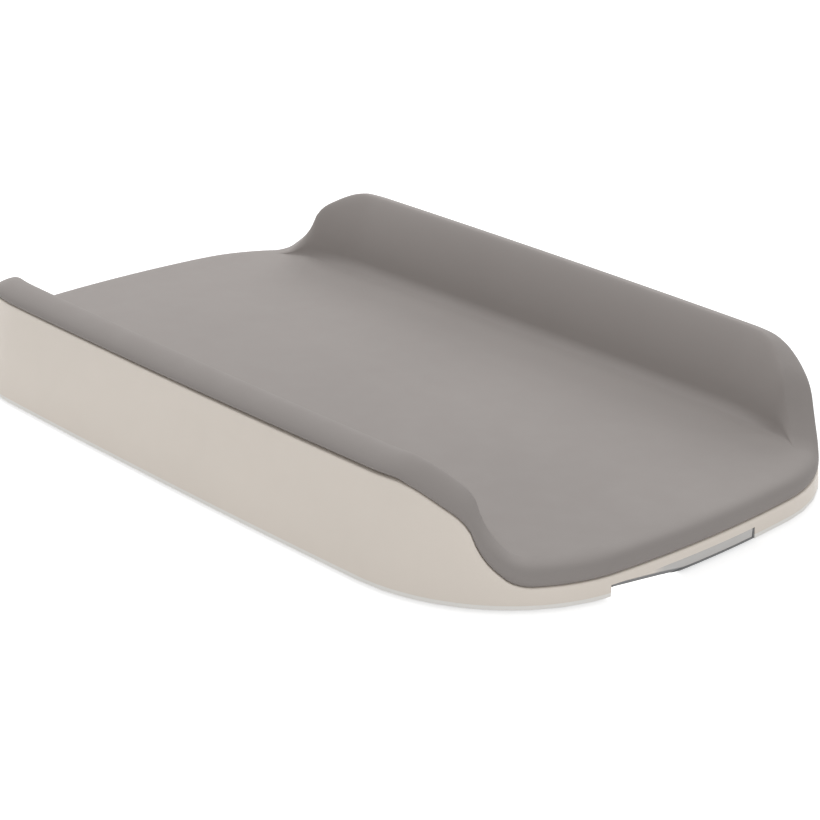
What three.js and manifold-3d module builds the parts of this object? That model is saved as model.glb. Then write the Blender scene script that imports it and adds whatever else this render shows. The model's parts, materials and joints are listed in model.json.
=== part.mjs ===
import * as THREE from 'three';
import { mergeVertices } from 'three/addons/utils/BufferGeometryUtils.js';
import Module from 'manifold-3d';

// Baby changing station: a moulded foam pad on a low base with a built-in scale.
// Millimetres, +Z up, floor at Z = 0, the length along Y with the display at the -Y end.

// Plan outline, measured at the foot of the base
const LENGTH = 838;
const WIDTH = 540;
const CORNER_RADIUS = 165;
const END_RADIUS = 1299;
const SIDE_RADIUS = 10485;

// Heights above the floor
const FLOOR_GAP = 3;
const COVER_TOP = 6;
const BAND_TOP = 7;
const SKIRT_BOTTOM = 7.3;
const RIM_END = 21.6;
const RIM_SIDE = 99.8;
const PLATEAU_TOP = 27.2;
const BED_HEIGHT = 38;

// Base shell
const SKIRT_LEAN = 0.105;
const SHELL = 3;
const RIM_CHAMFER = 1.4;
const LEDGE_WIDTH = 10;
const TRAY_LEAN = 4;
const PLATEAU_INSET = 40;
const PLATEAU_SLOPE = 5;
const DECK_STEP = 1.2;

// Underside cover
const COVER_CHAMFER = 0.4;
const BAND_WIDTH = 3.2;
const BAND_FOOT = 4.2;

// Pad
const PAD_EDGE = 18.2;
const PAD_END_EDGE = 16.5;
const PAD_EDGE_FOOT = 5;
const PAD_EDGE_TUCK = 3.6;
const PAD_FULLNESS = 0.45;
const PAD_OUTER_ROLL = 22.5;
const PAD_END_ROLL = 15.5;
const PAD_END_SHARES = [0.33, 0.63];
const PAD_FACE_RUN = 25;
const PAD_FOOT_FILLET = 10;
const BED_BLEND = 0.5;
const BED_DISH = 2;
const BED_INSETS = [82, 118];

// Clearances
const GAP = 0.3;

// Rise of the rim round each corner: turn from the side towards the end in degrees,
// share of the side's height
const CORNER_FALL = [
  [11.3, 1],
  [17.6, 0.965],
  [23, 0.9],
  [28.4, 0.815],
  [33.5, 0.72],
  [37.1, 0.6],
  [39.8, 0.41],
  [42.7, 0.268],
  [46.3, 0.15],
  [50.8, 0.042],
  [56.4, 0],
  [66, 0],
  [76, 0],
];

// Scale parts
const FOOT_SIDE_INSET = 100;
const FOOT_END_INSET = 139;
const FOOT_RADIUS = 19;
const FOOT_PAD_RADIUS = 17.5;
const FOOT_PAD_HEIGHT = 2;
const FOOT_DISC_TOP = 7.5;
const FOOT_BOSS_RADIUS = 7;
const FOOT_BOSS_TOP = 12;
const FOOT_HOLE_RADIUS = 21.5;
const CELL_SIZE = 40;
const CELL_BOTTOM = 12.3;
const CELL_THICKNESS = 2;
const CELL_SLOT = 2.5;
const CELL_TONGUE = 18;
const CARRIER_SIZE = 46;
const CARRIER_OPENING = 30;

// Display in the front lip
const DISPLAY_LEFT = -124;
const DISPLAY_RIGHT = 61;
const DISPLAY_TOP = 13.7;
const LENS_BOTTOM = 4.9;
const LENS_RECESS = 1.6;
const LENS_THICKNESS = 2.2;
const BEZEL_RECESS = 1.1;
const BEZEL_DEPTH = 5.4;
const BEZEL_BAR = 1.4;
const BEZEL_END = 2;
const MODULE_WIDTH = 124;
const MODULE_INSET = 11.2;
const MODULE_DEPTH = 5;
const MODULE_HEIGHT = 9;

// Main board and button
const BOARD_INSET = 74;
const BOARD_WIDTH = 90;
const BOARD_LENGTH = 60;
const BOARD_BOTTOM = 16;
const BOARD_THICKNESS = 1.6;
const BOARD_HOLE_INSET = 8;
const BOARD_BOSS_RADIUS = 3.2;
const RADIO_LEFT = 31;
const RADIO_FRONT = 3;
const RADIO_WIDTH = 18;
const RADIO_LENGTH = 14;
const RADIO_HEIGHT = 2.4;
const BUTTON_RIGHT = 23;
const BUTTON_FRONT = 5;
const BUTTON_RADIUS = 4;
const BUTTON_TRAVEL = 0.5;

// Batteries
const BATTERY_X = 0;
const BATTERY_INSET = 204;
const BATTERY_RADIUS = 7.2;
const BATTERY_LENGTH = 50;
const BATTERY_PITCH = 15.4;
const BATTERY_COUNT = 4;
const BATTERY_Z = 13.6;
const BAY_WIDTH = 63;
const BAY_LENGTH = 64;
const BAY_TOP = 22.1;
const BAY_WALL = 1.8;
const DOOR_WIDTH = 70;
const DOOR_LENGTH = 75;
const DOOR_THICKNESS = 2.4;
const DOOR_AXIS_HEIGHT = 4.5;
const DOOR_AXIS_SETBACK = 1;
const DOOR_PIN_RADIUS = 0.7;
const DOOR_PIN_LENGTH = 3;
const THUMB_RADIUS = 9;
const THUMB_SETBACK = 2;
const THUMB_TOP = 4.6;
const DOOR_FRAME = 5;

// Cover screws
const SIDE_SCREW_INSET = 65;
const SIDE_SCREW_SHARE = 1 / 3;
const END_SCREW_INSET = 59;
const END_SCREW_SHARE = 0.39;
const MIDDLE_SCREW_X = 75;
const MIDDLE_SCREW_SHARE = 0.05;
const SCREW_HEAD_RADIUS = 3.2;
const SCREW_SHANK_RADIUS = 1.5;
const SCREW_SEAT = 4.8;
const SCREW_TOP = 17;
const BOSS_RADIUS = 4.6;

const wasm = await Module();
wasm.setup();

const DEGREE = Math.PI / 180;
const HALF_LENGTH = LENGTH / 2;
const HALF_WIDTH = WIDTH / 2;
const DECK_UNDER = PLATEAU_TOP - SHELL;

// Places that follow the outline
const FOOT_X = HALF_WIDTH - FOOT_SIDE_INSET;
const FOOT_Y = HALF_LENGTH - FOOT_END_INSET;
const MODULE_FRONT = MODULE_INSET - HALF_LENGTH;
const BOARD_X = (DISPLAY_LEFT + DISPLAY_RIGHT) / 2;
const BOARD_Y = BOARD_INSET - HALF_LENGTH;
const boardHoleX = BOARD_WIDTH / 2 - BOARD_HOLE_INSET;
const boardHoleY = BOARD_LENGTH / 2 - BOARD_HOLE_INSET;
const BOARD_HOLES = [-1, 1].map((side) => [BOARD_X + side * boardHoleX, BOARD_Y + side * boardHoleY]);
const BUTTON_X = BOARD_X + BUTTON_RIGHT;
const BUTTON_Y = BOARD_Y - BUTTON_FRONT;
const BATTERY_Y = BATTERY_INSET - HALF_LENGTH;
const sideScrewX = HALF_WIDTH - SIDE_SCREW_INSET;
const sideScrewY = HALF_LENGTH * SIDE_SCREW_SHARE;
const endScrewX = HALF_WIDTH * END_SCREW_SHARE;
const endScrewY = HALF_LENGTH - END_SCREW_INSET;
const middleScrewY = HALF_LENGTH * MIDDLE_SCREW_SHARE;
const SCREW_PLACES = [
  [-sideScrewX, -sideScrewY], [sideScrewX, -sideScrewY], [-sideScrewX, sideScrewY], [sideScrewX, sideScrewY],
  [-endScrewX, -endScrewY], [endScrewX, -endScrewY], [-endScrewX, endScrewY], [endScrewX, endScrewY],
  [-MIDDLE_SCREW_X, middleScrewY], [MIDDLE_SCREW_X, middleScrewY],
];

// Cutters start below the underside and end above the cover
const CUT_LOW = FLOOR_GAP - 1;
const CUT_HIGH = BAND_TOP + 1;

const toSolid = (geometry) => {
  const bare = new THREE.BufferGeometry();
  bare.setAttribute('position', geometry.getAttribute('position'));
  if (geometry.index) bare.setIndex(geometry.index);
  const merged = mergeVertices(bare, 1e-4);
  return new wasm.Manifold(new wasm.Mesh({
    numProp: 3,
    vertProperties: Float32Array.from(merged.getAttribute('position').array),
    triVerts: Uint32Array.from(merged.index.array),
  }));
};

const toGeometry = (solid) => {
  const mesh = solid.getMesh();
  const geometry = new THREE.BufferGeometry();
  geometry.setAttribute('position', new THREE.BufferAttribute(Float32Array.from(mesh.vertProperties), 3));
  geometry.setIndex(new THREE.BufferAttribute(Uint32Array.from(mesh.triVerts), 1));
  return geometry;
};

const joinAll = (geometries) => geometries.map(toSolid).reduce((sum, next) => sum.add(next));

const build = (added, removed) => {
  const body = joinAll(added);
  return toGeometry(removed.length ? body.subtract(joinAll(removed)) : body);
};

// A closed skin through rings of equal count, with a flat cap on the first and the last ring
const loft = (rings) => {
  const count = rings[0].length;
  const positions = rings.flat().flatMap((point) => [point.x, point.y, point.z]);
  const faces = [];
  for (let ring = 0; ring + 1 < rings.length; ring += 1) {
    for (let step = 0; step < count; step += 1) {
      const next = (step + 1) % count;
      const low = ring * count;
      const high = low + count;
      faces.push([low + step, low + next, high + next], [low + step, high + next, high + step]);
    }
  }
  const last = (rings.length - 1) * count;
  for (let step = 1; step + 1 < count; step += 1) {
    faces.push([0, step + 1, step], [last, last + step, last + step + 1]);
  }
  const points = rings.flat();
  const volume = faces.reduce((sum, [a, b, c]) => {
    return sum + points[a].dot(new THREE.Vector3().crossVectors(points[b], points[c]));
  }, 0);
  const geometry = new THREE.BufferGeometry();
  geometry.setAttribute('position', new THREE.Float32BufferAttribute(positions, 3));
  geometry.setIndex(faces.flatMap(([a, b, c]) => (volume > 0 ? [a, b, c] : [a, c, b])));
  return geometry;
};

const block = (x0, x1, y0, y1, z0, z1) => {
  const geometry = new THREE.BoxGeometry(x1 - x0, y1 - y0, z1 - z0);
  return geometry.translate((x0 + x1) / 2, (y0 + y1) / 2, (z0 + z1) / 2);
};

const rod = (x, y, radius, z0, z1, sides = 20) => {
  const geometry = new THREE.CylinderGeometry(radius, radius, z1 - z0, sides);
  return geometry.rotateX(Math.PI / 2).translate(x, y, (z0 + z1) / 2);
};

const turned = (x, y, profile, sides) => {
  const points = profile.map(([radius, z]) => new THREE.Vector2(radius, z));
  return new THREE.LatheGeometry(points, sides).rotateX(Math.PI / 2).translate(x, y, 0);
};

const raise = (shape, x, y, z0, z1) => {
  const options = { depth: z1 - z0, bevelEnabled: false, curveSegments: 2 };
  return new THREE.ExtrudeGeometry(shape, options).translate(x, y, z0);
};

const roundedSquare = (size, radius, Kind) => {
  const half = size / 2;
  const path = new Kind();
  path.moveTo(half - radius, -half);
  path.absarc(half - radius, -half + radius, radius, -Math.PI / 2, 0);
  path.absarc(half - radius, half - radius, radius, 0, Math.PI / 2);
  path.absarc(-half + radius, half - radius, radius, Math.PI / 2, Math.PI);
  path.absarc(-half + radius, -half + radius, radius, Math.PI, 1.5 * Math.PI);
  path.closePath();
  return path;
};

// A round wire through the given points, closed at both ends
const wire = (places, radius, steps, sides) => {
  const curve = new THREE.CatmullRomCurve3(places.map((place) => new THREE.Vector3(...place)));
  const frames = curve.computeFrenetFrames(steps, false);
  const rings = [];
  for (let step = 0; step <= steps; step += 1) {
    const centre = curve.getPointAt(step / steps);
    rings.push(Array.from({ length: sides }, (unused, side) => {
      const turn = (side / sides) * 2 * Math.PI;
      return centre.clone()
        .addScaledVector(frames.normals[step], radius * Math.cos(turn))
        .addScaledVector(frames.binormals[step], radius * Math.sin(turn));
    }));
  }
  return loft(rings);
};

// Centre of the corner arc that is tangent to the side arc and the end arc
const sideCentre = new THREE.Vector2(HALF_WIDTH - SIDE_RADIUS, 0);
const endCentre = new THREE.Vector2(0, HALF_LENGTH - END_RADIUS);
const cornerCentre = (() => {
  const span = endCentre.clone().sub(sideCentre);
  const distance = span.length();
  const fromSide = SIDE_RADIUS - CORNER_RADIUS;
  const fromEnd = END_RADIUS - CORNER_RADIUS;
  const along = (distance ** 2 + fromSide ** 2 - fromEnd ** 2) / (2 * distance);
  const across = Math.sqrt(fromSide ** 2 - along ** 2);
  const unit = span.divideScalar(distance);
  const foot = sideCentre.clone().addScaledVector(unit, along);
  const left = foot.clone().addScaledVector(new THREE.Vector2(-unit.y, unit.x), across);
  const right = foot.clone().addScaledVector(new THREE.Vector2(unit.y, -unit.x), across);
  return left.y > right.y ? left : right;
})();
const sideTurn = Math.atan2(cornerCentre.y, cornerCentre.x - sideCentre.x);
const endTurn = Math.atan2(cornerCentre.y - endCentre.y, cornerCentre.x);

// Stations of one quarter of the outline, from the middle of the side to the middle of the end
const quarter = [
  { turn: 0, centre: sideCentre, radius: SIDE_RADIUS, fall: 1 },
  { turn: sideTurn / 2, centre: sideCentre, radius: SIDE_RADIUS, fall: 1 },
  { turn: sideTurn, centre: cornerCentre, radius: CORNER_RADIUS, fall: 1 },
  ...CORNER_FALL.map(([degrees, fall]) => {
    return { turn: degrees * DEGREE, centre: cornerCentre, radius: CORNER_RADIUS, fall };
  }),
  { turn: endTurn, centre: cornerCentre, radius: CORNER_RADIUS, fall: 0 },
  { turn: (endTurn + Math.PI / 2) / 2, centre: endCentre, radius: END_RADIUS, fall: 0 },
  { turn: Math.PI / 2, centre: endCentre, radius: END_RADIUS, fall: 0 },
];
const stationAt = (entry, mirrorX, mirrorY) => ({ ...entry, mirrorX, mirrorY });
const inner = quarter.slice(1, -1);
const stations = [
  stationAt(quarter[0], 1, 1),
  ...inner.map((entry) => stationAt(entry, 1, 1)),
  stationAt(quarter.at(-1), 1, 1),
  ...inner.map((entry) => stationAt(entry, -1, 1)).reverse(),
  stationAt(quarter[0], -1, 1),
  ...inner.map((entry) => stationAt(entry, -1, -1)),
  stationAt(quarter.at(-1), 1, -1),
  ...inner.map((entry) => stationAt(entry, 1, -1)).reverse(),
].map((entry) => {
  const rim = RIM_END + (RIM_SIDE - RIM_END) * entry.fall;
  return { ...entry, rim, lean: SKIRT_LEAN * (rim - FLOOR_GAP) };
});

const outlinePoint = (station, inset, z) => {
  const reach = station.radius - inset;
  const x = station.centre.x + reach * Math.cos(station.turn);
  const y = station.centre.y + reach * Math.sin(station.turn);
  return new THREE.Vector3(station.mirrorX * x, station.mirrorY * y, z);
};

// A ring round the outline: the rule gives inset and height for each station
const ring = (rule) => stations.map((station) => {
  const [inset, z] = rule(station);
  return outlinePoint(station, inset, z);
});
const leanAt = (z) => SKIRT_LEAN * (z - FLOOR_GAP);

// Part of a ring that follows the front end's arc between two widths
const frontSector = (left, right, outerInset, innerInset, z0, z1, steps) => {
  const outer = END_RADIUS - outerInset;
  const innerRadius = END_RADIUS - innerInset;
  const place = (radius, turn, z) => {
    return new THREE.Vector3(radius * Math.sin(turn), -endCentre.y - radius * Math.cos(turn), z);
  };
  const leftTurn = Math.asin(left / END_RADIUS);
  const rightTurn = Math.asin(right / END_RADIUS);
  const rings = [];
  for (let step = 0; step <= steps; step += 1) {
    const turn = leftTurn + (rightTurn - leftTurn) * (step / steps);
    rings.push([
      place(outer, turn, z0),
      place(innerRadius, turn, z0),
      place(innerRadius, turn, z1),
      place(outer, turn, z1),
    ]);
  }
  return loft(rings);
};

const station = new THREE.Group();
station.name = 'baby_changing_station';
const addPiece = (name, geometry, color, roughness, metalness = 0) => {
  const flat = geometry.index ? geometry.toNonIndexed() : geometry;
  flat.deleteAttribute('uv');
  flat.computeVertexNormals();
  const mesh = new THREE.Mesh(flat, new THREE.MeshStandardMaterial({ color, roughness, metalness }));
  mesh.name = name;
  station.add(mesh);
};

// Points along a smooth curve through four guide points
const along = (guides, steps) => {
  const curve = new THREE.CubicBezierCurve(...guides.map(([x, y]) => new THREE.Vector2(x, y)));
  return curve.getPoints(steps);
};

// Pad: underside that fits the tray, rolled border, turned-up sides and dished bed
const padRings = () => {
  const swing = (entry) => {
    const [from, to] = PAD_END_SHARES.map((share) => share * HALF_WIDTH);
    const aside = entry.centre.x + entry.radius * Math.cos(entry.turn);
    return THREE.MathUtils.smoothstep(aside, from, to);
  };
  const edge = (entry) => PAD_END_EDGE + (PAD_EDGE - PAD_END_EDGE) * swing(entry);
  const roll = (entry) => PAD_END_ROLL + (PAD_OUTER_ROLL - PAD_END_ROLL) * swing(entry);
  const crest = (entry) => entry.rim + edge(entry);
  const bed = (entry) => {
    const level = RIM_END + edge(entry);
    return level + (BED_HEIGHT - level) * THREE.MathUtils.smoothstep(entry.fall, 0, BED_BLEND);
  };
  const rise = (entry) => crest(entry) - bed(entry);
  const footFillet = (entry) => Math.min(PAD_FOOT_FILLET, 0.45 * rise(entry));
  const crestInset = (entry) => entry.lean + roll(entry);
  const slopeShift = GAP * 0.4;
  const rings = [
    ring(() => [PLATEAU_INSET + PLATEAU_SLOPE - slopeShift, PLATEAU_TOP + GAP]),
    ring(() => [PLATEAU_INSET - slopeShift, RIM_END + GAP]),
    ring((entry) => [entry.lean + LEDGE_WIDTH + TRAY_LEAN + GAP, RIM_END + GAP]),
    ring((entry) => [entry.lean + LEDGE_WIDTH + GAP, entry.rim + GAP]),
    ring((entry) => [entry.lean + PAD_EDGE_TUCK, entry.rim + GAP]),
  ];
  along([[0, 0], [0, PAD_FULLNESS], [1 - PAD_FULLNESS, 1], [1, 1]], 3).forEach((point) => {
    const height = (entry) => entry.rim + PAD_EDGE_FOOT + point.y * (edge(entry) - PAD_EDGE_FOOT);
    rings.push(ring((entry) => [entry.lean + point.x * roll(entry), height(entry)]));
  });
  along([[0, 0], [0.18, 0], [1, 0.45], [1, 1]], 4).slice(1).forEach((point) => {
    const height = (entry) => crest(entry) - point.y * (rise(entry) - footFillet(entry));
    rings.push(ring((entry) => [crestInset(entry) + point.x * PAD_FACE_RUN, height(entry)]));
  });
  [45, 90].forEach((degrees) => {
    const across = PAD_FACE_RUN + PAD_FOOT_FILLET * (1 - Math.cos(degrees * DEGREE));
    const up = 1 - Math.sin(degrees * DEGREE);
    rings.push(ring((entry) => [crestInset(entry) + across, bed(entry) + up * footFillet(entry)]));
  });
  BED_INSETS.forEach((inset, step) => {
    const share = (step + 1) / BED_INSETS.length;
    const level = (entry) => bed(entry) + (BED_HEIGHT - bed(entry)) * share;
    rings.push(ring((entry) => [inset, level(entry) - BED_DISH * share]));
  });
  return rings;
};
addPiece('changing_pad', loft(padRings()), 0xa39d9a, 0.6);

// Base shell: skirt, rim, tray for the pad and hollow underside with bosses for the screws
const shellRings = [
  ring(() => [PLATEAU_INSET + PLATEAU_SLOPE, PLATEAU_TOP]),
  ring(() => [PLATEAU_INSET, RIM_END]),
  ring((entry) => [entry.lean + LEDGE_WIDTH + TRAY_LEAN, RIM_END]),
  ring((entry) => [entry.lean + LEDGE_WIDTH, entry.rim]),
  ring((entry) => [entry.lean + RIM_CHAMFER, entry.rim]),
  ring((entry) => [entry.lean - SKIRT_LEAN * RIM_CHAMFER, entry.rim - RIM_CHAMFER]),
  ring(() => [leanAt(SKIRT_BOTTOM), SKIRT_BOTTOM]),
  ring(() => [leanAt(SKIRT_BOTTOM) + SHELL, SKIRT_BOTTOM]),
  ring((entry) => [entry.lean + SHELL, entry.rim - SHELL]),
  ring((entry) => [entry.lean + LEDGE_WIDTH - SHELL, entry.rim - SHELL]),
  ring((entry) => [entry.lean + LEDGE_WIDTH + TRAY_LEAN - SHELL, RIM_END - SHELL]),
  ring(() => [PLATEAU_INSET + DECK_STEP, RIM_END - SHELL]),
  ring(() => [PLATEAU_INSET + PLATEAU_SLOPE + DECK_STEP, DECK_UNDER]),
];
const notchInset = BEZEL_RECESS + BEZEL_DEPTH + 0.6;
const displayNotch = (bottom) => {
  return frontSector(DISPLAY_LEFT, DISPLAY_RIGHT, -2, notchInset, bottom, DISPLAY_TOP, 12);
};
const shellBosses = SCREW_PLACES.map(([x, y]) => {
  return rod(x, y, BOSS_RADIUS, COVER_TOP + GAP, DECK_UNDER + 0.8, 12);
});
const boardBosses = BOARD_HOLES.map(([x, y]) => {
  return rod(x, y, BOARD_BOSS_RADIUS, BOARD_BOTTOM + BOARD_THICKNESS + GAP, DECK_UNDER + 0.8, 10);
});
const pilotHoles = SCREW_PLACES.map(([x, y]) => {
  return rod(x, y, SCREW_SHANK_RADIUS + GAP, COVER_TOP, SCREW_TOP + 1, 8);
});
const boardPilots = BOARD_HOLES.map(([x, y]) => rod(x, y, 1.3, BOARD_BOTTOM, DECK_UNDER - 0.6, 8));
addPiece('base_shell', build(
  [loft(shellRings), ...shellBosses, ...boardBosses],
  [...pilotHoles, ...boardPilots, displayNotch(FLOOR_GAP)],
), 0xc9c1b8, 0.45);

// Underside cover with the battery bay, foot holes and screw seats
const coverRings = [
  ring(() => [COVER_CHAMFER, FLOOR_GAP]),
  ring(() => [leanAt(FLOOR_GAP + COVER_CHAMFER), FLOOR_GAP + COVER_CHAMFER]),
  ring(() => [leanAt(BAND_TOP), BAND_TOP]),
  ring(() => [leanAt(BAND_TOP) + BAND_WIDTH, BAND_TOP]),
  ring(() => [leanAt(BAND_TOP) + BAND_FOOT, COVER_TOP]),
];
const bayX = BAY_WIDTH / 2;
const bayY = BAY_LENGTH / 2;
const doorX = DOOR_WIDTH / 2;
const doorY = DOOR_LENGTH / 2;
const aroundBay = (halfX, halfY, z0, z1) => {
  return block(BATTERY_X - halfX, BATTERY_X + halfX, BATTERY_Y - halfY, BATTERY_Y + halfY, z0, z1);
};
const doorAxisY = BATTERY_Y + doorY - DOOR_AXIS_SETBACK;
const pinHoles = [-1, 1].map((side) => {
  const radius = DOOR_PIN_RADIUS + GAP;
  const hole = new THREE.CylinderGeometry(radius, radius, DOOR_PIN_LENGTH + 1.2, 10);
  hole.rotateZ(Math.PI / 2);
  return hole.translate(BATTERY_X + side * (doorX + DOOR_PIN_LENGTH / 2), doorAxisY, DOOR_AXIS_HEIGHT);
});
const footPlaces = [[-1, -1], [1, -1], [-1, 1], [1, 1]];
const footHoles = footPlaces.map(([x, y]) => {
  return rod(x * FOOT_X, y * FOOT_Y, FOOT_HOLE_RADIUS, CUT_LOW, CUT_HIGH, 20);
});
const screwSeats = SCREW_PLACES.flatMap(([x, y]) => [
  rod(x, y, SCREW_HEAD_RADIUS + 0.4, CUT_LOW, SCREW_SEAT, 10),
  rod(x, y, SCREW_SHANK_RADIUS + 0.4, CUT_LOW, CUT_HIGH, 8),
]);
const thumbNotch = rod(BATTERY_X, BATTERY_Y - doorY - THUMB_SETBACK, THUMB_RADIUS, CUT_LOW, THUMB_TOP, 20);
const doorRecess = block(
  BATTERY_X - doorX - GAP,
  BATTERY_X + doorX + GAP,
  BATTERY_Y - doorY - GAP,
  BATTERY_Y + doorY + 1,
  CUT_LOW,
  COVER_TOP,
);
addPiece('bottom_cover', build(
  [
    loft(coverRings),
    aroundBay(doorX + DOOR_FRAME, doorY + DOOR_FRAME, COVER_TOP - 1, COVER_TOP + 2),
    aroundBay(bayX + BAY_WALL, bayY + BAY_WALL, COVER_TOP, BAY_TOP + BAY_WALL),
  ],
  [
    aroundBay(bayX, bayY, CUT_LOW, BAY_TOP),
    doorRecess,
    ...pinHoles,
    ...footHoles,
    ...screwSeats,
    thumbNotch,
    rod(BUTTON_X, BUTTON_Y, BUTTON_RADIUS + GAP, CUT_LOW, CUT_HIGH, 16),
    displayNotch(CUT_LOW),
  ],
), 0xd6d0c8, 0.5);

// Four feet, each on a load cell held in a carrier under the deck
const cellShape = roundedSquare(CELL_SIZE, 4, THREE.Shape);
const slotHalf = CELL_TONGUE / 2;
const slotReach = slotHalf + CELL_SLOT;
const slot = new THREE.Path();
slot.setFromPoints([
  [-slotReach, -slotReach], [slotReach, -slotReach], [slotReach, slotReach], [slotHalf, slotReach],
  [slotHalf, -slotHalf], [-slotHalf, -slotHalf], [-slotHalf, slotReach], [-slotReach, slotReach],
].map(([x, y]) => new THREE.Vector2(x, y)));
cellShape.holes.push(slot);
const carrierShape = roundedSquare(CARRIER_SIZE, 5, THREE.Shape);
carrierShape.holes.push(roundedSquare(CARRIER_OPENING, 3, THREE.Path));
const cellTop = CELL_BOTTOM + CELL_THICKNESS;
const corners = ['front_left', 'front_right', 'rear_left', 'rear_right'];
footPlaces.forEach(([sideX, sideY], index) => {
  const x = sideX * FOOT_X;
  const y = sideY * FOOT_Y;
  const name = corners[index];
  addPiece(`foot_pad_${name}`, turned(x, y, [
    [0, 0], [FOOT_PAD_RADIUS - 0.6, 0], [FOOT_PAD_RADIUS, 0.6], [FOOT_PAD_RADIUS, FOOT_PAD_HEIGHT],
    [0, FOOT_PAD_HEIGHT],
  ], 18), 0x3a3a3a, 0.85);
  addPiece(`foot_${name}`, turned(x, y, [
    [0, FOOT_PAD_HEIGHT + GAP], [FOOT_RADIUS, FOOT_PAD_HEIGHT + GAP], [FOOT_RADIUS, FOOT_DISC_TOP - 1],
    [FOOT_RADIUS - 1, FOOT_DISC_TOP], [FOOT_BOSS_RADIUS, FOOT_DISC_TOP], [FOOT_BOSS_RADIUS, FOOT_BOSS_TOP],
    [0, FOOT_BOSS_TOP],
  ], 18), 0xd6d0c8, 0.55);
  addPiece(`load_cell_${name}`, raise(cellShape, x, y, CELL_BOTTOM, cellTop), 0xb4b7ba, 0.3, 1);
  addPiece(`cell_carrier_${name}`, raise(carrierShape, x, y, cellTop + GAP, DECK_UNDER - GAP), 0x5a5c60, 0.6);
});

// Display strip in the front lip
addPiece('display_lens', frontSector(
  DISPLAY_LEFT + BEZEL_END + GAP,
  DISPLAY_RIGHT - BEZEL_END - GAP,
  LENS_RECESS,
  LENS_RECESS + LENS_THICKNESS,
  LENS_BOTTOM,
  DISPLAY_TOP - GAP,
  12,
), 0xb8babb, 0.1);
const bezelBottom = FLOOR_GAP + 0.2;
const bezelInner = BEZEL_RECESS + BEZEL_DEPTH;
const bezelTop = DISPLAY_TOP - GAP;
addPiece('display_bezel', build(
  [frontSector(DISPLAY_LEFT + GAP, DISPLAY_RIGHT - GAP, BEZEL_RECESS, bezelInner, bezelBottom, bezelTop, 12)],
  [frontSector(
    DISPLAY_LEFT + BEZEL_END,
    DISPLAY_RIGHT - BEZEL_END,
    BEZEL_RECESS - 2,
    bezelInner + 2,
    bezelBottom + BEZEL_BAR,
    bezelTop + 2,
    6,
  )],
), 0x3c4043, 0.4);
const moduleBottom = COVER_TOP + GAP;
addPiece('display_module', block(
  BOARD_X - MODULE_WIDTH / 2,
  BOARD_X + MODULE_WIDTH / 2,
  MODULE_FRONT,
  MODULE_FRONT + MODULE_DEPTH,
  moduleBottom,
  moduleBottom + MODULE_HEIGHT,
), 0x26292b, 0.5);

// Main board with its radio can, switch and button
const boardFront = BOARD_Y - BOARD_LENGTH / 2;
const boardRear = BOARD_Y + BOARD_LENGTH / 2;
const boardLeft = BOARD_X - BOARD_WIDTH / 2;
const boardRight = BOARD_X + BOARD_WIDTH / 2;
const boardTop = BOARD_BOTTOM + BOARD_THICKNESS;
const boardMiddle = BOARD_BOTTOM + BOARD_THICKNESS / 2;
addPiece('main_board', build(
  [block(boardLeft, boardRight, boardFront, boardRear, BOARD_BOTTOM, boardTop)],
  BOARD_HOLES.map(([x, y]) => rod(x, y, 1.6, BOARD_BOTTOM - 1, boardTop + 1, 12)),
), 0x2f6b45, 0.5);
const radioX = BOARD_X - RADIO_LEFT;
const radioY = BOARD_Y - RADIO_FRONT;
const radioBottom = boardTop + GAP;
addPiece('wireless_module', block(
  radioX,
  radioX + RADIO_WIDTH,
  radioY,
  radioY + RADIO_LENGTH,
  radioBottom,
  radioBottom + RADIO_HEIGHT,
), 0xb9bcc0, 0.3, 1);
const switchBottom = BOARD_BOTTOM - GAP - 3.4;
const plungerBottom = switchBottom - 0.7;
addPiece('tact_switch', build(
  [block(BUTTON_X - 3.1, BUTTON_X + 3.1, BUTTON_Y - 3.1, BUTTON_Y + 3.1, switchBottom, BOARD_BOTTOM - GAP)],
  [rod(BUTTON_X, BUTTON_Y, 2, switchBottom - 1, plungerBottom + 1.9 + BUTTON_TRAVEL + 0.1, 12)],
), 0x2a2a2c, 0.5);
const plunger = rod(BUTTON_X, BUTTON_Y, 1.65, plungerBottom, plungerBottom + 1.9, 12);
addPiece('switch_plunger', plunger, 0xb0a890, 0.5);
addPiece('unit_button', turned(BUTTON_X, BUTTON_Y, [
  [0, FLOOR_GAP + 0.4], [BUTTON_RADIUS - 0.6, FLOOR_GAP + 0.4], [BUTTON_RADIUS, FLOOR_GAP + 1],
  [BUTTON_RADIUS, COVER_TOP + GAP], [BUTTON_RADIUS + 1.8, COVER_TOP + GAP],
  [BUTTON_RADIUS + 1.8, COVER_TOP + 1.3], [BUTTON_RADIUS - 1.6, COVER_TOP + 1.3],
  [BUTTON_RADIUS - 1.6, plungerBottom - GAP], [0, plungerBottom - GAP],
], 16), 0x6a6c70, 0.5);

// Ribbon from the display to the board
const ribbonBack = MODULE_FRONT + MODULE_DEPTH;
const ribbonLow = moduleBottom + MODULE_HEIGHT / 2;
const ribbonShape = new THREE.Shape([
  [ribbonBack + 0.4, ribbonLow], [boardFront - 17, ribbonLow], [boardFront - 8, boardMiddle - 0.3],
  [boardFront - 0.4, boardMiddle - 0.3], [boardFront - 0.4, boardMiddle + 0.3],
  [boardFront - 8.2, boardMiddle + 0.3], [boardFront - 17.2, ribbonLow + 0.6],
  [ribbonBack + 0.4, ribbonLow + 0.6],
].map(([y, z]) => new THREE.Vector2(y, z)));
const ribbon = new THREE.ExtrudeGeometry(ribbonShape, { depth: 20, bevelEnabled: false });
const ribbonTurn = new THREE.Matrix4().set(0, 0, 1, BOARD_X - 10, 1, 0, 0, 0, 0, 1, 0, 0, 0, 0, 0, 1);
addPiece('display_ribbon', ribbon.applyMatrix4(ribbonTurn), 0xe4e0d4, 0.6);

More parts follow.
